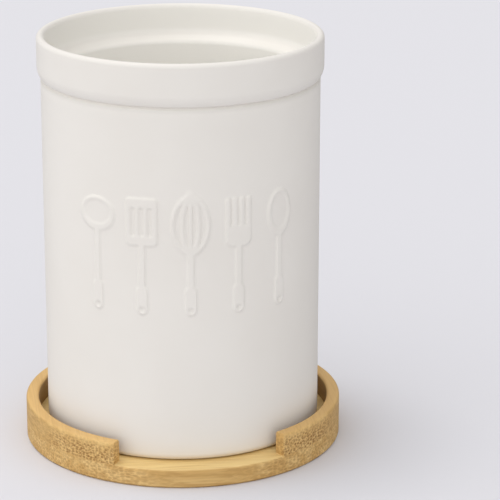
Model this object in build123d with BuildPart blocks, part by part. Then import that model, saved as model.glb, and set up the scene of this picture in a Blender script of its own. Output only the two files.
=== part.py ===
"""Utensil crock: an open stoneware jar that stands loose in a round bamboo tray.

The jar is one fired piece: a straight round wall, a raised band round the rim, and a curved
shoulder inside the rim where the wall steps in. It stands on an unglazed foot ring.
The tray is two glued bamboo boards: a full disc, and a ring on top of it that keeps the jar
from sliding off. The ring is open at the front, as a notch for the fingers and for wiping out.

Frame: millimetres, +Z up, origin on the tray's underside at its centre. The notch faces -Y.
"""

from build123d import *
import os

# Tray disc
disc_radius = 68.0
disc_thickness = 8.0
disc_bottom_chamfer = 0.8
disc_notch_round = 1.2

# Tray ring
ring_width = 5.5
ring_height = 9.6
ring_edge_bevel = 1.0
notch_angle = 63.0

# Jar wall and rim
jar_height = 168.5
jar_clearance = 4.0
wall_thickness = 6.5
band_projection = 1.5
band_height = 17.6
band_underside_height = 4.5
lip_thickness = 3.5

# Inside of the rim: a straight gallery, then a curved shoulder down to the bore
gallery_depth = 12.4
shoulder_drop = 3.2
shoulder_upper_round = 4.0
shoulder_lower_round = 2.6

# Jar bottom
floor_thickness = 7.5
floor_corner_round = 6.0
bottom_edge_round = 3.2
foot_ring_width = 5.0
foot_ring_height = 1.6

# Directions, in degrees about +Z from +X
front_direction = -90.0
full_turn = 360.0

# Radii and heights worked out from the sizes
ring_inner_radius = disc_radius - ring_width
jar_radius = ring_inner_radius - jar_clearance
bore_radius = jar_radius - wall_thickness
band_radius = jar_radius + band_projection
gallery_radius = band_radius - lip_thickness
lip_centre_radius = band_radius - lip_thickness / 2
foot_outer_radius = jar_radius - bottom_edge_round
foot_inner_radius = foot_outer_radius - foot_ring_width

seat_z = disc_thickness
recess_z = seat_z + foot_ring_height
floor_z = seat_z + floor_thickness
rim_z = seat_z + jar_height
lip_centre_z = rim_z - lip_thickness / 2
band_bottom_z = rim_z - band_height
shoulder_top_z = rim_z - gallery_depth
shoulder_bottom_z = shoulder_top_z - shoulder_drop


def radial_plane(direction):
    """A vertical plane through the axis: its x runs outwards in this direction, its y runs up."""
    outwards = Vector(1, 0, 0).rotate(Axis.Z, direction)
    return Plane(origin=(0, 0, 0), x_dir=outwards, z_dir=outwards.cross(Vector(0, 0, 1)))


# The jar is half of its cross-section, revolved. The outline runs up the outside from the foot
# ring, over the lip and down the inside.
with BuildPart() as jar:
    with BuildSketch(Plane.XZ) as jar_section:
        with BuildLine():
            foot = Line((foot_inner_radius, seat_z), (foot_outer_radius, seat_z))
            bottom_edge = TangentArc(
                foot @ 1, (jar_radius, seat_z + bottom_edge_round), tangent=foot % 1
            )
            outer_wall = Line(bottom_edge @ 1, (jar_radius, band_bottom_z))
            band_face = Line(
                (band_radius, band_bottom_z + band_underside_height),
                (band_radius, lip_centre_z),
            )
            # The underside leaves the band's face straight down and curls in to the wall.
            TangentArc(band_face @ 0, outer_wall @ 1, tangent=-(band_face % 0))
            outer_lip = TangentArc(
                band_face @ 1, (lip_centre_radius, rim_z), tangent=band_face % 1
            )
            TangentArc(
                outer_lip @ 1, (gallery_radius, lip_centre_z), tangent=outer_lip % 1
            )
            Polyline(
                (gallery_radius, lip_centre_z),
                (gallery_radius, shoulder_top_z),
                (bore_radius, shoulder_bottom_z),
                (bore_radius, floor_z),
                (0, floor_z),
                (0, recess_z),
                (foot_inner_radius, recess_z),
                foot @ 0,
            )
        make_face()
        for corner, rounding in (
            ((gallery_radius, shoulder_top_z), shoulder_upper_round),
            ((bore_radius, shoulder_bottom_z), shoulder_lower_round),
            ((bore_radius, floor_z), floor_corner_round),
        ):
            fillet(jar_section.vertices().sort_by_distance(corner)[0], rounding)
    revolve(axis=Axis.Z)
jar.part.label = "stoneware_jar"


# The tray's ring is open at the notch. Its underside stays sharp, because it is glued down.
with BuildPart() as ring:
    with BuildSketch(radial_plane(front_direction + notch_angle / 2)):
        with Locations((ring_inner_radius, seat_z)):
            Rectangle(ring_width, ring_height, align=(Align.MIN, Align.MIN))
    revolve(axis=Axis.Z, revolution_arc=full_turn - notch_angle)
    glued_edges = ring.edges().group_by(Axis.Z)[0]
    chamfer(ring.edges() - glued_edges, ring_edge_bevel)
ring.part.label = "bamboo_ring"


# The tray's disc. Its upper edge is rounded only where the notch bares it, and stays flush with
# the ring everywhere else.
with BuildPart() as disc:
    Cylinder(disc_radius, disc_thickness, align=(Align.CENTER, Align.CENTER, Align.MIN))
    chamfer(disc.edges().group_by(Axis.Z)[0], disc_bottom_chamfer)
    with BuildSketch(radial_plane(front_direction - notch_angle / 2)):
        with Locations((disc_radius, disc_thickness)):
            Rectangle(2 * disc_notch_round, 2 * disc_notch_round)
        with Locations((disc_radius - disc_notch_round, disc_thickness - disc_notch_round)):
            Circle(disc_notch_round, mode=Mode.SUBTRACT)
    revolve(axis=Axis.Z, revolution_arc=notch_angle, mode=Mode.SUBTRACT)
disc.part.label = "bamboo_disc"


os.makedirs("parts", exist_ok=True)
export_step(jar.part, "parts/stoneware_jar.step")
export_step(ring.part, "parts/bamboo_ring.step")
export_step(disc.part, "parts/bamboo_disc.step")
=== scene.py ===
"""Looks for the utensil crock: a glazed stoneware jar, loose in a round bamboo tray.

Blender 4.5, metres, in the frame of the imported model: +Z up, the tray's notch towards -Y.
Angles called "round" are about the axis, from the front (-Y) towards +X. They are in degrees
for the relief, the camera and the light, and in radians where the meshes are made.
A pair called a range says where a smooth step is 0, and where it is 1.
"""

import math

import bmesh
import bpy
import numpy as np
from mathutils import Matrix, Vector


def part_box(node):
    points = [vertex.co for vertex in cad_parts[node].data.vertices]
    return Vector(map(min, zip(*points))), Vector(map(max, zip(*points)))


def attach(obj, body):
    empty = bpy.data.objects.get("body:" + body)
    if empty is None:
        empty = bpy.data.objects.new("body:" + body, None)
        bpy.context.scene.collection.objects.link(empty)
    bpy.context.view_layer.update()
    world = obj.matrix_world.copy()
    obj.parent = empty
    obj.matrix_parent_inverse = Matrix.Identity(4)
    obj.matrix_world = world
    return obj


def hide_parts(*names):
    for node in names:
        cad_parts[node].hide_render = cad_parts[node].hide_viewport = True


MM = 0.001

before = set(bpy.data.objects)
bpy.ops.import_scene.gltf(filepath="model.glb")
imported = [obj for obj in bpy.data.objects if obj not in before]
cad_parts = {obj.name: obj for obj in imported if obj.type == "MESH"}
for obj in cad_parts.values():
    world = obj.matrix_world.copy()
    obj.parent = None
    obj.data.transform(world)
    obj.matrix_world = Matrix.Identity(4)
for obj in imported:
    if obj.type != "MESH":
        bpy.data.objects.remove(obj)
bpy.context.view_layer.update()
jar_low, jar_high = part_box("stoneware_jar")
ring_low, ring_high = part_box("bamboo_ring")
disc_low, disc_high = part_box("bamboo_disc")

# Photograph: its size, and the camera that was fitted to its outlines, with angles in degrees
PHOTO_SIDE_PX = 500.0
FOCAL_LENGTH_PX = 2389.5
SENSOR_WIDTH_MM = 36.0
CAMERA_DISTANCE = 975 * MM
CAMERA_HEIGHT = 390.7 * MM
CAMERA_ROUND = -6.45
CAMERA_DOWN = 17.61
CAMERA_TURN = 1.71
CAMERA_ROLL = 0.10
CAMERA_CLIP = (0.05, 50.0)

# Jar: its wall, band, lip, shoulder and foot
BAND_RADIUS = jar_high.x
RIM_Z = jar_high.z
SEAT_Z = jar_low.z
BAND_PROJECTION = 1.5 * MM
WALL_THICKNESS = 6.5 * MM
BAND_HEIGHT = 17.6 * MM
BAND_UNDERSIDE_HEIGHT = 4.5 * MM
CREASE_WIDTH = 1.9 * MM
CREASE_DEPTH = 1.0 * MM
LIP_THICKNESS = 3.5 * MM
GALLERY_DEPTH = 12.4 * MM
SHOULDER_DROP = 3.2 * MM
SHOULDER_UPPER_ROUND = 4.0 * MM
SHOULDER_LOWER_ROUND = 2.6 * MM
FLOOR_THICKNESS = 7.5 * MM
FLOOR_CORNER_ROUND = 6.0 * MM
BOTTOM_EDGE_ROUND = 3.2 * MM
FOOT_RING_WIDTH = 5.0 * MM
FOOT_RING_HEIGHT = 1.6 * MM
FOOT_RECESS_ROUND = 1.2 * MM

JAR_RADIUS = BAND_RADIUS - BAND_PROJECTION
BORE_RADIUS = JAR_RADIUS - WALL_THICKNESS
GALLERY_RADIUS = BAND_RADIUS - LIP_THICKNESS
LIP_CENTRE_RADIUS = BAND_RADIUS - LIP_THICKNESS / 2
LIP_CENTRE_Z = RIM_Z - LIP_THICKNESS / 2
BAND_BOTTOM_Z = RIM_Z - BAND_HEIGHT
BAND_FACE_BOTTOM_Z = BAND_BOTTOM_Z + BAND_UNDERSIDE_HEIGHT
CREASE_BOTTOM_Z = BAND_BOTTOM_Z - CREASE_WIDTH
SHOULDER_TOP_Z = RIM_Z - GALLERY_DEPTH
SHOULDER_BOTTOM_Z = SHOULDER_TOP_Z - SHOULDER_DROP
WALL_BOTTOM_Z = SEAT_Z + BOTTOM_EDGE_ROUND
FLOOR_Z = SEAT_Z + FLOOR_THICKNESS
RECESS_Z = SEAT_Z + FOOT_RING_HEIGHT
FOOT_OUTER_RADIUS = JAR_RADIUS - BOTTOM_EDGE_ROUND
FOOT_INNER_RADIUS = FOOT_OUTER_RADIUS - FOOT_RING_WIDTH

# The crease under the band, as shares of its depth and of its width, from its lower edge up
CREASE_OUTLINE = ((0, 1), (0.15, 0.8), (0.5, 0.6), (0.9, 0.42), (1, 0.3), (0.8, 0.18))

# Jar mesh: how far apart its points are, and how many steps round each corner
FLAT_SPACING = 8 * MM
LOWER_WALL_SPACING = 5 * MM
UPPER_WALL_SPACING = 4 * MM
RIM_SPACING = 3 * MM
BACK_SPACING = math.radians(2.5)
RECESS_STEPS = 4
BOTTOM_EDGE_STEPS = 12
BAND_UNDERSIDE_STEPS = 10
LIP_STEPS = 20
SHOULDER_STEPS = 8
FLOOR_CORNER_STEPS = 10
JAR_SHARP_ANGLE = 32.0

# Relief on the jar's front: kitchen tools in a row, under the glaze
RELIEF_ROUND = -3.0
RELIEF_MIDDLE_Z = 98 * MM
RELIEF_HALF_WIDTH = 51 * MM
RELIEF_HALF_HEIGHT = 30 * MM
RELIEF_HEIGHT = 0.6 * MM
RELIEF_EDGE = 0.9 * MM
RELIEF_GRID = 0.5 * MM
TOOL_PITCH = 20 * MM
HOLLOW_SHARE = 0.6

# Handles and fine parts of these tools, in millimetres. Heights are from the row's middle.
HANDLE_BOTTOM = -24
GRIP_TOP = -16
GRIP_RADIUS = 2.3
STEM_RADIUS = 1.3
EYE_RADIUS = 1.0
SLOT_RADIUS = 0.95
WIRE_RADIUS = 0.75
TINE_RADIUS = 1.0

# Tray
TRAY_RADIUS = disc_high.x
RING_WIDTH = 5.5 * MM
RING_INNER_RADIUS = TRAY_RADIUS - RING_WIDTH
RING_TOP_ROUND = 1.3 * MM
RING_END_ROUND = 0.5 * MM
LEAST_TOP_ROUND = 0.1 * MM
HALF_NOTCH = math.radians(63.0 / 2)
DISC_NOTCH_ROUND = 1.2 * MM
DISC_BOTTOM_CHAMFER = 0.8 * MM
GLUE_LINE_EASE = 0.12 * MM

# Tray mesh
RING_WALL_POINTS = 6
RING_TOP_POINTS = 4
EDGE_STEPS = 6
RING_END_STEPS = 8
RING_SPACING = math.radians(1.25)
DISC_SPACING = math.radians(1.5)
DISC_NOTCH_SPACING = math.radians(1)
DISC_EDGE_SPACING = 1 * MM
NOTCH_STEP_OFF = math.radians(0.15)
TRAY_SHARP_ANGLE = 40.0

# Glaze: its tones and gloss
GLAZE_TONES = ((0.832, 0.796, 0.741, 1), (0.851, 0.818, 0.765, 1))
# Painted shade on the wall just under the band, where its overhang shades the wall
BAND_PAINTED_SHADE = (0.785, 0.753, 0.700, 1)
# Painted light: a paler tone on the walls inside the jar, for light that bounces round inside
INNER_PAINTED_LIGHT = (0.93, 0.908, 0.86, 1)
# Painted shade: a darker tone on the lip's top, which tones down the light that falls there
LIP_PAINTED_SHADE = (0.795, 0.758, 0.712, 1)
BARE_CLAY = (0.66, 0.60, 0.50, 1)
GLAZE_ROUGHNESS = 0.48
BARE_CLAY_ROUGHNESS = 0.78
GLAZE_IOR = 1.5
GLAZE_BUMP = {"Strength": 0.25, "Distance": 1 * MM}

# Glaze: where its tones change. The clouds are broad, and the orange peel is fine.
GLAZE_UPWARD_RANGE = (0.1, 0.8)
# Where the painted light on the jar's inner walls begins
INNER_LIGHT_RANGE = (GALLERY_RADIUS + LIP_THICKNESS / 3, GALLERY_RADIUS)
# Where the painted shade on the lip's top comes in
LIP_SHADE_RANGE = (RIM_Z - 1.5 * MM, RIM_Z - 0.4 * MM)
# Where the painted shade under the band comes in and fades out
BAND_SHADE_BOTTOM_RANGE = (BAND_BOTTOM_Z - 3.3 * MM, BAND_BOTTOM_Z - 1.5 * MM)
BAND_SHADE_TOP_RANGE = (BAND_BOTTOM_Z - 0.5 * MM, BAND_BOTTOM_Z - 1.3 * MM)
BARE_CLAY_RANGE = (SEAT_Z + 0.9 * MM, SEAT_Z + 0.4 * MM)
CLOUD_RANGE = (0.3, 0.7)
CLOUDS = {"Scale": 26.0, "Detail": 3.0}
PEEL = {"Scale": 700.0, "Detail": 1.0}
CLOUD_HEIGHT = 0.25
PEEL_HEIGHT = 0.015

# Bamboo: its tones, from the plain wood to the marks on it, then a painted shade
BAMBOO_LIGHT = (0.86, 0.595, 0.242, 1)
BAMBOO_TAN = (0.69, 0.428, 0.140, 1)
STREAK_TONE = (0.52, 0.31, 0.105, 1)
SIDE_TONE = (0.50, 0.29, 0.085, 1)
STRIP_TONE = (0.60, 0.37, 0.14, 1)
NODE_TONE = (0.44, 0.215, 0.06, 1)
LINE_TONE = (0.36, 0.20, 0.075, 1)
DOT_TONE = (0.33, 0.165, 0.046, 1)
# Painted shade on the ring's inner wall, for the dark gap between the ring and the jar
RING_GAP_PAINTED_SHADE = (0.26, 0.140, 0.050, 1)

# Bamboo: how strongly each tone shows, at most
# How strongly the painted light and shade on the boards' tops shows
TOP_LIGHT_AND_SHADE_SHARE = 0.6
TOP_STREAK_SHARE = 0.40
SIDE_STREAK_SHARE = 0.28
SIDE_SHARE = 0.82
LEAST_SIDE_SHARE = 0.32
STRIP_SHARE = 0.28
NODE_SHARE = 0.35
LINE_SHARE = 0.35
# How strongly the painted shade in the gap by the jar shows
RING_GAP_SHADE_SHARE = 0.75

# Bamboo: its strips, and the node that crosses the grain of each
STRIP_WIDTH = 19 * MM
STRIP_LINE = 0.14 * MM
NODE_SPREAD = 260 * MM
NODE_SEED = 0.37
NODE_RANGE = (2.4 * MM, 0.3 * MM)
NODE_WAVE = 2.5 * MM
NODE_WAVES = {"Scale": 160.0, "Detail": 1.0}

# Bamboo: its fibres, which show as dots where a face cuts across them
FIBRE_SPACING = 1.35 * MM
FINE_FIBRE_SPACING = 0.95 * MM
FINE_FIBRE_OFFSET = 7.7
FIBRE_RANDOMNESS = 0.75
FIBRE_WANDER = 3.0 * MM
FIBRE_WANDERS = {"Scale": 45.0, "Detail": 2.0}
DOT_RANGE = (0.48, 0.24)
LEAST_DOT = 0.6
SPARSE_DOT = 0.25
FINE_DOT = 0.7
PATCH_RANGE = (0.15, 0.42)
PATCHES = {"Scale": 70.0, "Detail": 2.0}

# Bamboo: its fine streaks and broad bands, with noise cells per metre across and along the grain
STREAK_CELLS = (1100.0, 35.0)
STREAK_DETAIL = 3.0
STREAK_RANGE = (0.42, 0.70)
BAND_CELLS = (240.0, 16.0)
BAND_DETAIL = 2.0
TONE_RANGE = (0.35, 0.65)

# Bamboo: its surface
BAMBOO_UPWARD_RANGE = (0.5, 0.95)
# Where the painted shade on the ring's inner wall begins
RING_GAP_SHADE_RANGE = (RING_INNER_RADIUS + 0.2 * MM, RING_INNER_RADIUS)
BAMBOO_ROUGHNESS = 0.50
DOT_ROUGHNESS = 0.70
BAMBOO_IOR = 1.45
BAMBOO_BUMP = {"Strength": 0.35, "Distance": 0.12 * MM}
STREAK_HEIGHT = 0.4
LINE_HEIGHT = 0.6

# Bamboo: what differs between the tray's two boards
RING_BOARD = {
    "grain": "Y",
    "seed": 3.4,
    "contrast": 0.5,
    # Painted shade: the ring's top is made darker where the light falls on it
    "top_light_and_shade": (0.66, 0.405, 0.148, 1),
    "cut_range": (0.28, 0.66),
    "dots_range": (ring_high.z, ring_low.z + 5 * MM),
    "dots_share": 1.0,
}
DISC_BOARD = {
    "grain": "X",
    "seed": 11.8,
    "contrast": 1.1,
    # Painted light: the disc's top, the floor of the notch, is made paler
    "top_light_and_shade": (0.95, 0.74, 0.34, 1),
    "cut_range": (0.12, 0.5),
    "dots_range": (disc_high.z + 2 * MM, disc_high.z),
    "dots_share": 0.55,
}

# Floor and light
FLOOR_COLOUR = (0.678, 0.672, 0.706, 1)
FLOOR_HALF_SIDE = 6.0
BACKGROUND_COLOUR = (0.768, 0.760, 0.799, 1)
WHITE = (1, 1, 1, 1)
WORLD_STRENGTH = 0.685
WORLD_SLOPE = 0.65
WORLD_ROUND = -58.0
WORLD_ELEVATION = 46.0
REFLECTED_SIDES = 0.25
REFLECTED_TOP = 0.85
REFLECTED_TOP_RANGE = (0.0, 0.9)
REFLECTED_FLOOR = 0.45
LAMP = {"strength": 0.50, "round_angle": -120.0, "elevation": 75.0, "size": 20.0}


# Mesh helpers


def arc(centre, radius, start, end, steps):
    """Points (r, z) along an arc from start to end, in degrees from the r axis towards z."""
    angles = np.radians(np.linspace(start, end, steps + 1))
    return [(centre[0] + radius * math.cos(a), centre[1] + radius * math.sin(a)) for a in angles]


def rounded_corner(before, corner, after, radius, steps):
    """Points of the arc that rounds a corner of an outline."""
    b, c, a = Vector(before), Vector(corner), Vector(after)
    to_b, to_a = (b - c).normalized(), (a - c).normalized()
    half = to_b.angle(to_a) / 2
    centre = c + (to_b + to_a).normalized() * (radius / math.sin(half))
    start, end = c + to_b * (radius / math.tan(half)), c + to_a * (radius / math.tan(half))
    first, last = start - centre, end - centre
    sweep = first.angle_signed(last)
    points = []
    for i in range(steps + 1):
        turned = first.copy()
        turned.rotate(Matrix.Rotation(-sweep * i / steps, 2))
        points.append(tuple(centre + turned))
    return points


def spaced(start, end, step):
    """Values from start to end, evenly spaced by about step, without the last one."""
    count = max(1, round(abs(end - start) / step))
    return list(np.linspace(start, end, count + 1)[:-1])


def new_piece(name, vertices, faces, material, sharp_angle):
    """A smooth-shaded mesh object, sharp where faces meet at more than this angle in degrees."""
    mesh = bpy.data.meshes.new(name)
    mesh.from_pydata([tuple(v) for v in vertices], [], faces)
    mesh.validate()
    fix = bmesh.new()
    fix.from_mesh(mesh)
    bmesh.ops.recalc_face_normals(fix, faces=fix.faces)
    fix.to_mesh(mesh)
    fix.free()
    mesh.shade_smooth()
    mesh.set_sharp_from_angle(angle=math.radians(sharp_angle))
    mesh.materials.append(material)
    piece = bpy.data.objects.new(name, mesh)
    bpy.context.scene.collection.objects.link(piece)
    return piece


def on_axis_round(radius, round_angle, z):
    """The point at a radius and height, at an angle in radians round from the front."""
    return (radius * np.sin(round_angle), -radius * np.cos(round_angle), z)


# Relief: distances in millimetres from an outline, negative inside it


def bar(x, y, start, end, radius):
    """A straight bar with round ends."""
    dx, dy = end[0] - start[0], end[1] - start[1]
    along = np.clip(((x - start[0]) * dx + (y - start[1]) * dy) / (dx * dx + dy * dy), 0, 1)
    return np.hypot(x - start[0] - along * dx, y - start[1] - along * dy) - radius


def oval(x, y, middle, half_width, half_height):
    reach = np.hypot(x / half_width, (y - middle) / half_height)
    return (reach - 1) * min(half_width, half_height)


def panel(x, y, middle, half_width, half_height, rounding):
    """A rectangle with rounded corners."""
    over_x = np.abs(x) - half_width + rounding
    over_y = np.abs(y - middle) - half_height + rounding
    outside = np.hypot(np.maximum(over_x, 0), np.maximum(over_y, 0))
    return outside + np.minimum(np.maximum(over_x, over_y), 0) - rounding


def handle(x, y, top):
    """A handle up to a tool's head, with an eye at its lower end to hang it by."""
    stem = bar(x, y, (0, GRIP_TOP), (0, top), STEM_RADIUS)
    grip = bar(x, y, (0, HANDLE_BOTTOM), (0, GRIP_TOP), GRIP_RADIUS)
    eye = oval(x, y, HANDLE_BOTTOM, EYE_RADIUS, EYE_RADIUS)
    return np.maximum(np.minimum(stem, grip), -eye)


def ladle(x, y):
    return np.minimum(handle(x, y, 8), oval(x, y, 14.5, 8.4, 7.2)), oval(x, y, 15.2, 6.4, 5.0)


def turner(x, y):
    blade = np.minimum(handle(x, y, 4), panel(x, y, 13, 6.6, 10, 2))
    for slot in (-3.5, 0, 3.5):
        blade = np.maximum(blade, -bar(x, y, (slot, 8), (slot, 18), SLOT_RADIUS))
    return blade, None


def whisk(x, y):
    wires = [np.abs(oval(x, y, 12, half_width, 11.5)) - WIRE_RADIUS for half_width in (7.2, 3.4)]
    wires += [bar(x, y, (0, 2), (0, 23), WIRE_RADIUS), handle(x, y, 2)]
    return np.minimum.reduce(wires), None


def fork(x, y):
    head = [panel(x, y, 6.5, 5.6, 4.6, 3.4), handle(x, y, 4)]
    head += [bar(x, y, (tine, 8), (tine, 21.5), TINE_RADIUS) for tine in (-4.6, -1.55, 1.55, 4.6)]
    return np.minimum.reduce(head), None


def spoon(x, y):
    return np.minimum(handle(x, y, 5), oval(x, y, 13, 6.4, 10)), oval(x, y, 13.8, 4.5, 7.6)


# From left to right. Each gives its outline, and the hollow in its bowl if it has one.
TOOLS = (ladle, turner, whisk, fork, spoon)


def raised(distance):
    """1 inside an outline and 0 outside it, with a soft edge."""
    ramp = np.clip(0.5 - distance / (RELIEF_EDGE / MM), 0, 1)
    return ramp * ramp * (3 - 2 * ramp)


def relief_height(across, up):
    """How far the relief stands out, at places across the front and up the wall."""
    height = np.zeros_like(across)
    first = -TOOL_PITCH * (len(TOOLS) - 1) / 2
    for i, tool in enumerate(TOOLS):
        x, y = (across - first - i * TOOL_PITCH) / MM, (up - RELIEF_MIDDLE_Z) / MM
        outline, hollow = tool(x, y)
        shape = raised(outline)
        if hollow is not None:
            shape = shape - HOLLOW_SHARE * raised(hollow)
        height = np.maximum(height, shape)
    return height * RELIEF_HEIGHT


# Jar


def band_underside():
    """A crease in the wall, then the arc that curls out to the band's face."""
    rise = BAND_UNDERSIDE_HEIGHT
    radius = (BAND_PROJECTION**2 + rise**2) / (2 * BAND_PROJECTION)
    start = -math.degrees(math.asin(rise / radius))
    crease = [
        (JAR_RADIUS - depth * CREASE_DEPTH, BAND_BOTTOM_Z - width * CREASE_WIDTH)
        for depth, width in CREASE_OUTLINE
    ]
    centre = (BAND_RADIUS - radius, BAND_FACE_BOTTOM_Z)
    return crease + arc(centre, radius, start, 0, BAND_UNDERSIDE_STEPS)


def outer_profile():
    """The jar's outside as (r, z) points, from the middle of the underside up to the rim."""
    recess_edge = FOOT_INNER_RADIUS - FOOT_RECESS_ROUND
    points = [(r, RECESS_Z) for r in spaced(0, recess_edge, FLAT_SPACING)]
    points += rounded_corner(
        (0, RECESS_Z),
        (FOOT_INNER_RADIUS, RECESS_Z),
        (FOOT_INNER_RADIUS, SEAT_Z),
        FOOT_RECESS_ROUND,
        RECESS_STEPS,
    )
    points += [(FOOT_INNER_RADIUS, SEAT_Z)]
    points += arc(
        (FOOT_OUTER_RADIUS, WALL_BOTTOM_Z), BOTTOM_EDGE_ROUND, -90, 0, BOTTOM_EDGE_STEPS
    )
    relief_low = RELIEF_MIDDLE_Z - RELIEF_HALF_HEIGHT
    relief_high = RELIEF_MIDDLE_Z + RELIEF_HALF_HEIGHT
    heights = spaced(WALL_BOTTOM_Z, relief_low, LOWER_WALL_SPACING)[1:]
    heights += spaced(relief_low, relief_high, RELIEF_GRID)
    heights += spaced(relief_high, CREASE_BOTTOM_Z, UPPER_WALL_SPACING)
    points += [(JAR_RADIUS, z) for z in heights]
    points += band_underside()
    face = spaced(BAND_FACE_BOTTOM_Z, LIP_CENTRE_Z, RIM_SPACING)[1:]
    return points + [(BAND_RADIUS, z) for z in face]


def inner_profile():
    """The jar's lip and inside as (r, z) points, down to the middle of the floor."""
    gallery_corner = (GALLERY_RADIUS, SHOULDER_TOP_Z)
    bore_corner = (BORE_RADIUS, SHOULDER_BOTTOM_Z)
    floor_corner = (BORE_RADIUS, FLOOR_Z)
    upper = rounded_corner(
        (GALLERY_RADIUS, LIP_CENTRE_Z),
        gallery_corner,
        bore_corner,
        SHOULDER_UPPER_ROUND,
        SHOULDER_STEPS,
    )
    lower = rounded_corner(
        gallery_corner, bore_corner, floor_corner, SHOULDER_LOWER_ROUND, SHOULDER_STEPS
    )
    corner_top = FLOOR_Z + FLOOR_CORNER_ROUND
    points = arc((LIP_CENTRE_RADIUS, LIP_CENTRE_Z), LIP_THICKNESS / 2, 0, 180, LIP_STEPS)
    points += [(GALLERY_RADIUS, z) for z in spaced(LIP_CENTRE_Z, upper[0][1], RIM_SPACING)[1:]]
    points += upper + lower
    points += [(BORE_RADIUS, z) for z in spaced(lower[-1][1], corner_top, FLAT_SPACING)[1:]]
    points += rounded_corner(
        bore_corner, floor_corner, (0, FLOOR_Z), FLOOR_CORNER_ROUND, FLOOR_CORNER_STEPS
    )
    floor_edge = BORE_RADIUS - FLOOR_CORNER_ROUND
    return points + [(r, FLOOR_Z) for r in spaced(floor_edge, 0, FLAT_SPACING)[1:]]


def jar_angles():
    """Angles round the jar, close together across the relief and wider apart behind it."""
    middle = math.radians(RELIEF_ROUND)
    half = RELIEF_HALF_WIDTH / JAR_RADIUS
    fine = spaced(middle - half, middle + half, RELIEF_GRID / JAR_RADIUS)
    back = spaced(middle + half, middle - half + 2 * math.pi, BACK_SPACING)
    return np.array(fine + back)


def make_jar(material):
    """The jar's half section, revolved, with the relief on its wall."""
    profile = np.array(outer_profile() + inner_profile())
    angles = jar_angles()
    rows, columns = len(profile), len(angles)
    radius = np.repeat(profile[:, :1], columns, axis=1)
    height = np.repeat(profile[:, 1:], columns, axis=1)
    round_angle = np.repeat(angles[None, :], rows, axis=0)
    across = (round_angle - math.radians(RELIEF_ROUND)) * JAR_RADIUS
    on_wall = np.isclose(radius, JAR_RADIUS)
    radius = radius + np.where(on_wall, relief_height(across, height), 0)
    grid = np.stack(on_axis_round(radius, round_angle, height), axis=-1)
    # The profile's first point is the underside's middle, and the floor's middle closes it.
    vertices = [(0, 0, RECESS_Z), *grid[1:].reshape(-1, 3), (0, 0, FLOOR_Z)]
    last = len(vertices) - 1
    faces = []
    for c in range(columns):
        nxt = (c + 1) % columns
        faces.append((0, 1 + c, 1 + nxt))
        faces.append((last, last - columns + nxt, last - columns + c))
        for r in range(rows - 2):
            a = 1 + r * columns
            faces.append((a + c, a + columns + c, a + columns + nxt, a + nxt))
    return new_piece("jar", vertices, faces, material, JAR_SHARP_ANGLE)


# Tray


def ring_section(inset):
    """The ring's section as (r, z) points, pulled in by inset except at its glued underside."""
    inner, outer = RING_INNER_RADIUS + inset, TRAY_RADIUS - inset
    low, high = ring_low.z, ring_high.z - inset
    rounding = max(RING_TOP_ROUND - inset, LEAST_TOP_ROUND)
    shoulder = high - rounding
    eased = low + GLUE_LINE_EASE
    top = np.linspace(inner + rounding, outer - rounding, RING_TOP_POINTS)[1:-1]
    points = [(inner, z) for z in np.linspace(low, shoulder, RING_WALL_POINTS)[:-1]]
    points += arc((inner + rounding, shoulder), rounding, 180, 90, EDGE_STEPS)
    points += [(r, high) for r in top]
    points += arc((outer - rounding, shoulder), rounding, 90, 0, EDGE_STEPS)
    points += [(outer, z) for z in np.linspace(shoulder, eased, RING_WALL_POINTS)[1:]]
    return points + [(outer - GLUE_LINE_EASE, low)]


def make_ring(material):
    """The ring, swept round from one side of the notch to the other, with rounded ends."""
    round_off = RING_END_ROUND / (TRAY_RADIUS - RING_WIDTH / 2)
    ends = []
    for i in range(RING_END_STEPS):
        turn = math.radians(90 * i / RING_END_STEPS)
        ends.append((round_off * (1 - math.cos(turn)), RING_END_ROUND * (1 - math.sin(turn))))
    first, last = HALF_NOTCH, 2 * math.pi - HALF_NOTCH
    rows = [(first + turn, inset) for turn, inset in ends]
    rows += [(a, 0.0) for a in spaced(first + round_off, last - round_off, RING_SPACING)]
    rows += [(last - round_off, 0.0)]
    rows += [(last - turn, inset) for turn, inset in reversed(ends)]
    vertices, faces = [], []
    for round_angle, inset in rows:
        vertices += [on_axis_round(r, round_angle, z) for r, z in ring_section(inset)]
    count = len(vertices) // len(rows)
    for row in range(len(rows) - 1):
        for i in range(count):
            a, b = row * count + i, row * count + (i + 1) % count
            faces.append((a, b, b + count, a + count))
    faces.append(tuple(range(count)))
    faces.append(tuple(range(len(vertices) - 1, len(vertices) - 1 - count, -1)))
    return new_piece("tray_ring", vertices, faces, material, TRAY_SHARP_ANGLE)


def disc_section(rounding):
    """The disc's section as (r, z) points, out along its top, down its edge and back below."""
    low, high, edge = disc_low.z, disc_high.z, TRAY_RADIUS
    chamfer_top = low + DISC_BOTTOM_CHAMFER
    points = [(r, high) for r in spaced(FLAT_SPACING, edge - DISC_NOTCH_ROUND, FLAT_SPACING)]
    points += arc((edge - rounding, high - rounding), rounding, 90, 0, EDGE_STEPS)
    wall = spaced(high - DISC_NOTCH_ROUND, chamfer_top, DISC_EDGE_SPACING)[1:]
    points += [(edge, z) for z in wall]
    points += [(edge, chamfer_top), (edge - DISC_BOTTOM_CHAMFER, low)]
    return points + [(r, low) for r in spaced(edge - FLAT_SPACING, 0, FLAT_SPACING)]


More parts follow.
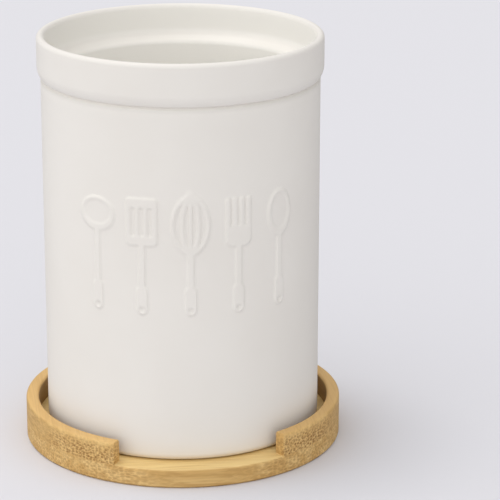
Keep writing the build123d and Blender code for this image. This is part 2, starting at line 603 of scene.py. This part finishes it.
def make_disc(material):
    """The disc: its upper edge is well rounded in the notch, and only eased under the ring."""
    notch_edge = HALF_NOTCH - NOTCH_STEP_OFF
    angles = spaced(-notch_edge, notch_edge, DISC_NOTCH_SPACING) + [notch_edge]
    angles += spaced(HALF_NOTCH, 2 * math.pi - HALF_NOTCH, DISC_SPACING)
    angles += [2 * math.pi - HALF_NOTCH]
    vertices, faces = [], []
    for a in angles:
        in_notch = abs(math.remainder(a, 2 * math.pi)) < HALF_NOTCH - NOTCH_STEP_OFF / 2
        section = disc_section(DISC_NOTCH_ROUND if in_notch else GLUE_LINE_EASE)
        vertices += [on_axis_round(r, a, z) for r, z in section]
    count, columns = len(section), len(angles)
    top, bottom = len(vertices), len(vertices) + 1
    vertices += [(0, 0, disc_high.z), (0, 0, disc_low.z)]
    for c in range(columns):
        a, b = c * count, ((c + 1) % columns) * count
        faces += [(a + i, a + i + 1, b + i + 1, b + i) for i in range(count - 1)]
        faces += [(top, a, b), (bottom, b + count - 1, a + count - 1)]
    return new_piece("tray_disc", vertices, faces, material, TRAY_SHARP_ANGLE)


# Materials


class Shader:
    """A node tree, with short calls for the nodes used here."""

    def __init__(self, tree, output):
        self.tree = tree
        self.tree.nodes.clear()
        self.out = self.tree.nodes.new(output)

    @classmethod
    def material(cls, name):
        made = bpy.data.materials.new(name)
        made.use_nodes = True
        return made, cls(made.node_tree, "ShaderNodeOutputMaterial")

    def node(self, kind, inputs=None, **settings):
        made = self.tree.nodes.new("ShaderNode" + kind)
        for key, value in settings.items():
            setattr(made, key, value)
        for key, value in (inputs or {}).items():
            self.set(made.inputs[key], value)
        return made

    def set(self, socket, value):
        if isinstance(value, bpy.types.NodeSocket):
            self.tree.links.new(value, socket)
        else:
            socket.default_value = value

    def math(self, operation, *values, clamp=False):
        made = self.node("Math", operation=operation, use_clamp=clamp)
        for i, value in enumerate(values):
            self.set(made.inputs[i], value)
        return made.outputs[0]

    def plus(self, first, second):
        return self.math("ADD", first, second)

    def minus(self, first, second):
        return self.math("SUBTRACT", first, second)

    def times(self, first, second):
        return self.math("MULTIPLY", first, second)

    def between(self, share, low, high):
        """The value at a share of the way from low to high."""
        return self.math("MULTIPLY_ADD", share, high - low, low)

    def wobble(self, noise, size):
        """A noise value as a length, evenly spread about zero."""
        return self.times(self.minus(noise, 0.5), size)

    def mix(self, factor, first, second):
        made = self.node("Mix", data_type="RGBA")
        for key, value in (("Factor_Float", factor), ("A_Color", first), ("B_Color", second)):
            socket = next(s for s in made.inputs if s.identifier == key)
            self.set(socket, value)
        return next(s for s in made.outputs if s.identifier == "Result_Color")

    def step(self, value, low, high):
        """0 at low, 1 at high, smooth between."""
        made = self.node("MapRange", interpolation_type="SMOOTHSTEP")
        for key, given in (("Value", value), ("From Min", low), ("From Max", high)):
            self.set(made.inputs[key], given)
        return made.outputs["Result"]

    def vector(self, x, y, z):
        return self.node("CombineXYZ", {"X": x, "Y": y, "Z": z}).outputs[0]

    def split(self, vector):
        """The X, Y and Z of a vector."""
        return tuple(self.node("SeparateXYZ", {"Vector": vector}).outputs)

    def place(self):
        """The place on the object, in its own frame."""
        return self.node("TexCoord").outputs["Object"]

    def normal(self):
        return self.node("NewGeometry").outputs["Normal"]

    def from_axis(self, x, y):
        """The distance from the object's axis."""
        flat = self.vector(x, y, 0.0)
        return self.node("VectorMath", {0: flat}, operation="LENGTH").outputs["Value"]

    def noise(self, place, settings, output="Fac"):
        return self.node("TexNoise", {"Vector": place, **settings}).outputs[output]

    def grain_noise(self, across, along, z, cells, detail):
        """Noise that is drawn out along the grain."""
        over, down = cells
        place = self.vector(self.times(across, over), self.times(along, down), self.times(z, over))
        return self.noise(place, {"Scale": 1.0, "Detail": detail})

    def random(self, number):
        """A random value from 0 to 1 for a whole number."""
        return self.node("TexWhiteNoise", {"W": number}, noise_dimensions="1D").outputs["Value"]

    def bump(self, height, settings):
        return self.node("Bump", {"Height": height, **settings}).outputs[0]

    def principled(self, colour, roughness, ior, bump):
        """Make the surface one Principled shader."""
        inputs = {"Base Color": colour, "Roughness": roughness, "IOR": ior, "Normal": bump}
        self.surface(self.node("BsdfPrincipled", inputs).outputs[0])

    def surface(self, socket):
        self.tree.links.new(socket, self.out.inputs["Surface"])


def glaze_material():
    """Satin off-white glaze, a little uneven, and wiped off the foot ring, where the clay
    is bare. Painted light makes the walls inside the jar paler, and painted shade darkens
    the top of the lip and the wall just under the band."""
    material, s = Shader.material("satin_glaze")
    place = s.place()
    x, y, z = s.split(place)
    upward = s.step(s.split(s.normal())[2], *GLAZE_UPWARD_RANGE)
    # Painted light on the inner walls of the jar, not on its ledges or floor
    inside = s.times(s.step(s.from_axis(x, y), *INNER_LIGHT_RANGE), s.minus(1.0, upward))
    # Painted shade on the wall just under the band
    band_shade = s.times(s.step(z, *BAND_SHADE_BOTTOM_RANGE), s.step(z, *BAND_SHADE_TOP_RANGE))
    bare = s.step(z, *BARE_CLAY_RANGE)
    cloud, peel = s.noise(place, CLOUDS), s.noise(place, PEEL)
    colour = s.mix(s.step(cloud, *CLOUD_RANGE), *GLAZE_TONES)
    for share, tone in (
        # Painted shade under the band
        (band_shade, BAND_PAINTED_SHADE),
        # Painted light on the jar's inner walls
        (inside, INNER_PAINTED_LIGHT),
        # Painted shade on the lip's top
        (s.step(z, *LIP_SHADE_RANGE), LIP_PAINTED_SHADE),
        (bare, BARE_CLAY),
    ):
        colour = s.mix(share, colour, tone)
    height = s.plus(s.times(cloud, CLOUD_HEIGHT), s.times(peel, PEEL_HEIGHT))
    roughness = s.between(bare, GLAZE_ROUGHNESS, BARE_CLAY_ROUGHNESS)
    s.principled(colour, roughness, GLAZE_IOR, s.bump(height, GLAZE_BUMP))
    return material


def strip_marks(s, place, across, along, seed):
    """Each strip's own tone, the node that crosses its grain, and the line beside it."""
    strip_place = s.plus(s.math("DIVIDE", across, STRIP_WIDTH), seed)
    strip = s.math("FLOOR", strip_place)
    line = s.step(s.math("PINGPONG", strip_place, 0.5), STRIP_LINE / STRIP_WIDTH, 0.0)
    node_place = s.wobble(s.random(s.plus(strip, NODE_SEED)), NODE_SPREAD)
    wave = s.wobble(s.noise(place, NODE_WAVES), NODE_WAVE)
    from_node = s.math("ABSOLUTE", s.plus(s.minus(along, node_place), wave))
    return s.random(strip), s.step(from_node, *NODE_RANGE), line


def fibre_dots(s, place, across, z, seed, dots_range):
    """Dots where the fibres are cut, coarse and fine. Where they are sparse the fine ones are
    gone, and the coarse ones are faint."""
    wander = s.node("SeparateColor", {"Color": s.noise(place, FIBRE_WANDERS, "Color")})
    fibre_across = s.plus(across, s.wobble(wander.outputs[0], FIBRE_WANDER))
    fibre_z = s.plus(z, s.wobble(wander.outputs[1], FIBRE_WANDER))
    layers = []
    for spacing, offset in ((FIBRE_SPACING, 0.0), (FINE_FIBRE_SPACING, FINE_FIBRE_OFFSET)):
        cells = s.vector(
            s.plus(s.math("DIVIDE", fibre_across, spacing), seed + offset),
            s.math("DIVIDE", fibre_z, spacing),
            0.0,
        )
        cell = s.node(
            "TexVoronoi",
            {"Vector": cells, "Scale": 1.0, "Randomness": FIBRE_RANDOMNESS},
            voronoi_dimensions="2D",
        )
        chance = s.node("SeparateColor", {"Color": cell.outputs["Color"]}).outputs[0]
        dot = s.step(cell.outputs["Distance"], *DOT_RANGE)
        layers.append(s.times(dot, s.between(chance, LEAST_DOT, 1.0)))
    patches = s.step(s.noise(place, PATCHES), *PATCH_RANGE)
    dense = s.times(s.step(z, *dots_range), patches)
    coarse = s.times(layers[0], s.between(dense, SPARSE_DOT, 1.0))
    fine = s.times(s.times(layers[1], dense), FINE_DOT)
    return s.math("MAXIMUM", coarse, fine, clamp=True)


def bamboo_material(name, grain, seed, contrast, top_light_and_shade, cut_range, dots_range, dots_share):
    """Oiled bamboo strips, with light and dark bands and fine streaks along the grain.

    The grain runs along the axis "X" or "Y", and contrast is how far the bands differ. Dots come
    in as a face cuts across the grain, over cut_range, and are densest at the heights where
    dots_range ends. dots_share is how dark they are.
    """
    material, s = Shader.material(name)
    place = s.place()
    x, y, z = s.split(place)
    across, along = (y, x) if grain == "X" else (x, y)
    facing = dict(zip("XYZ", s.split(s.normal())))
    upward = s.step(facing["Z"], *BAMBOO_UPWARD_RANGE)
    sideways = s.minus(1.0, upward)
    cut = s.step(s.math("ABSOLUTE", facing[grain]), *cut_range)
    # Painted shade on the ring's inner wall, in the gap by the jar
    gap_shade = s.times(s.step(s.from_axis(across, along), *RING_GAP_SHADE_RANGE), sideways)

    strip_tone, node_band, line = strip_marks(s, place, across, along, seed)
    dots = s.times(fibre_dots(s, place, across, z, seed, dots_range), cut)
    streak = s.grain_noise(across, along, z, STREAK_CELLS, STREAK_DETAIL)
    streak_share = s.between(sideways, TOP_STREAK_SHARE, SIDE_STREAK_SHARE)
    long_side = s.math("SUBTRACT", sideways, cut, clamp=True)
    side_share = s.between(s.step(streak, *TONE_RANGE), LEAST_SIDE_SHARE, SIDE_SHARE)
    drift = s.grain_noise(across, along, z, BAND_CELLS, BAND_DETAIL)
    band = s.between(s.step(drift, *TONE_RANGE), 0.5 - contrast / 2, 0.5 + contrast / 2)

    colour = s.mix(band, BAMBOO_LIGHT, BAMBOO_TAN)
    for share, tone in (
        # Painted light and shade on each board's top
        (s.times(upward, TOP_LIGHT_AND_SHADE_SHARE), top_light_and_shade),
        (s.times(s.step(streak, *STREAK_RANGE), streak_share), STREAK_TONE),
        (s.times(long_side, side_share), SIDE_TONE),
        (s.times(strip_tone, STRIP_SHARE), STRIP_TONE),
        (s.times(node_band, NODE_SHARE), NODE_TONE),
        (s.times(line, LINE_SHARE), LINE_TONE),
        (s.times(dots, dots_share), DOT_TONE),
        # Painted shade in the gap between the ring and the jar
        (s.times(gap_shade, RING_GAP_SHADE_SHARE), RING_GAP_PAINTED_SHADE),
    ):
        colour = s.mix(share, colour, tone)
    sunk = s.plus(dots, s.times(line, LINE_HEIGHT))
    height = s.minus(s.times(streak, STREAK_HEIGHT), sunk)
    roughness = s.between(dots, BAMBOO_ROUGHNESS, DOT_ROUGHNESS)
    s.principled(colour, roughness, BAMBOO_IOR, s.bump(height, BAMBOO_BUMP))
    return material


# Stage, lights and camera


def make_stage():
    """A pale floor that runs past the view on every side, and is darker in reflections."""
    material, s = Shader.material("floor_paper")
    reflected = s.node("LightPath").outputs["Is Glossy Ray"]
    dimmed = (*(c * REFLECTED_FLOOR for c in FLOOR_COLOUR[:3]), 1)
    s.surface(s.node("BsdfDiffuse", {"Color": s.mix(reflected, FLOOR_COLOUR, dimmed)}).outputs[0])
    mesh = bpy.data.meshes.new("floor")
    side = FLOOR_HALF_SIDE
    corners = [(-side, -side, 0), (side, -side, 0), (side, side, 0), (-side, side, 0)]
    mesh.from_pydata(corners, [], [(0, 1, 2, 3)])
    mesh.materials.append(material)
    floor = bpy.data.objects.new("floor", mesh)
    bpy.context.scene.collection.objects.link(floor)


def direction(round_angle, elevation):
    """The direction from the object at an angle round from the front, and up from the floor."""
    flat = math.cos(math.radians(elevation))
    return Vector((
        flat * math.sin(math.radians(round_angle)),
        -flat * math.cos(math.radians(round_angle)),
        math.sin(math.radians(elevation)),
    ))


def make_world():
    """White light from all round, stronger on one side. The camera sees it in the floor's colour,
    and reflections see a studio that is dark at the sides and brighter overhead."""
    world = bpy.data.worlds.new("studio")
    bpy.context.scene.world = world
    world.use_nodes = True
    s = Shader(world.node_tree, "ShaderNodeOutputWorld")
    path = s.node("LightPath").outputs
    shown = s.math("MAXIMUM", path["Is Camera Ray"], path["Is Transmission Ray"])
    towards = s.node("TexCoord").outputs["Generated"]
    brighter = direction(WORLD_ROUND, WORLD_ELEVATION)
    side = s.node("VectorMath", {0: towards, 1: brighter}, operation="DOT_PRODUCT")
    strength = s.math("MULTIPLY_ADD", side.outputs["Value"], WORLD_SLOPE, WORLD_STRENGTH)
    light = s.node("Background", {"Color": WHITE, "Strength": strength})
    overhead = s.step(s.split(towards)[2], *REFLECTED_TOP_RANGE)
    strength = s.between(overhead, REFLECTED_SIDES, REFLECTED_TOP)
    studio = s.node("Background", {"Color": WHITE, "Strength": strength})
    seen = s.node("Background", {"Color": BACKGROUND_COLOUR, "Strength": 1.0})
    glossy = path["Is Glossy Ray"]
    unseen = s.node("MixShader", {0: glossy, 1: light.outputs[0], 2: studio.outputs[0]})
    both = s.node("MixShader", {0: shown, 1: unseen.outputs[0], 2: seen.outputs[0]})
    s.surface(both.outputs[0])


def make_sun(name, strength, round_angle, elevation, size):
    light = bpy.data.lights.new(name, "SUN")
    light.energy = strength
    light.angle = math.radians(size)
    lamp = bpy.data.objects.new(name, light)
    bpy.context.scene.collection.objects.link(lamp)
    lamp.rotation_mode = "QUATERNION"
    lamp.rotation_quaternion = direction(round_angle, elevation).to_track_quat("Z", "Y")


def make_camera():
    """The camera stands a little to the left of the notch's middle, and looks down at the jar."""
    data = bpy.data.cameras.new("camera")
    data.sensor_width = SENSOR_WIDTH_MM
    data.lens = FOCAL_LENGTH_PX / PHOTO_SIDE_PX * SENSOR_WIDTH_MM
    data.clip_start, data.clip_end = CAMERA_CLIP
    camera = bpy.data.objects.new("camera", data)
    bpy.context.scene.collection.objects.link(camera)
    bpy.context.scene.camera = camera
    down, turn, roll = (math.radians(a) for a in (CAMERA_DOWN, CAMERA_TURN, CAMERA_ROLL))
    level_forward = Vector((math.sin(turn), math.cos(turn), 0))
    forward = level_forward * math.cos(down) - Vector((0, 0, math.sin(down)))
    level = Vector((math.cos(turn), -math.sin(turn), 0))
    upright = level.cross(forward)
    right = level * math.cos(roll) + upright * math.sin(roll)
    up = upright * math.cos(roll) - level * math.sin(roll)
    facing = Matrix((right, up, -forward)).transposed().to_4x4()
    facing.translation = (0, -CAMERA_DISTANCE, CAMERA_HEIGHT)
    camera.matrix_world = Matrix.Rotation(math.radians(CAMERA_ROUND), 4, "Z") @ facing


make_camera()
make_stage()
make_world()
make_sun("lamp", **LAMP)

jar = make_jar(glaze_material())
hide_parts("stoneware_jar")
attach(jar, "jar")

ring = make_ring(bamboo_material("bamboo_ring_board", **RING_BOARD))
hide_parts("bamboo_ring")
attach(ring, "tray")

disc = make_disc(bamboo_material("bamboo_disc_board", **DISC_BOARD))
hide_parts("bamboo_disc")
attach(disc, "tray")

bpy.context.scene.view_settings.view_transform = "Standard"
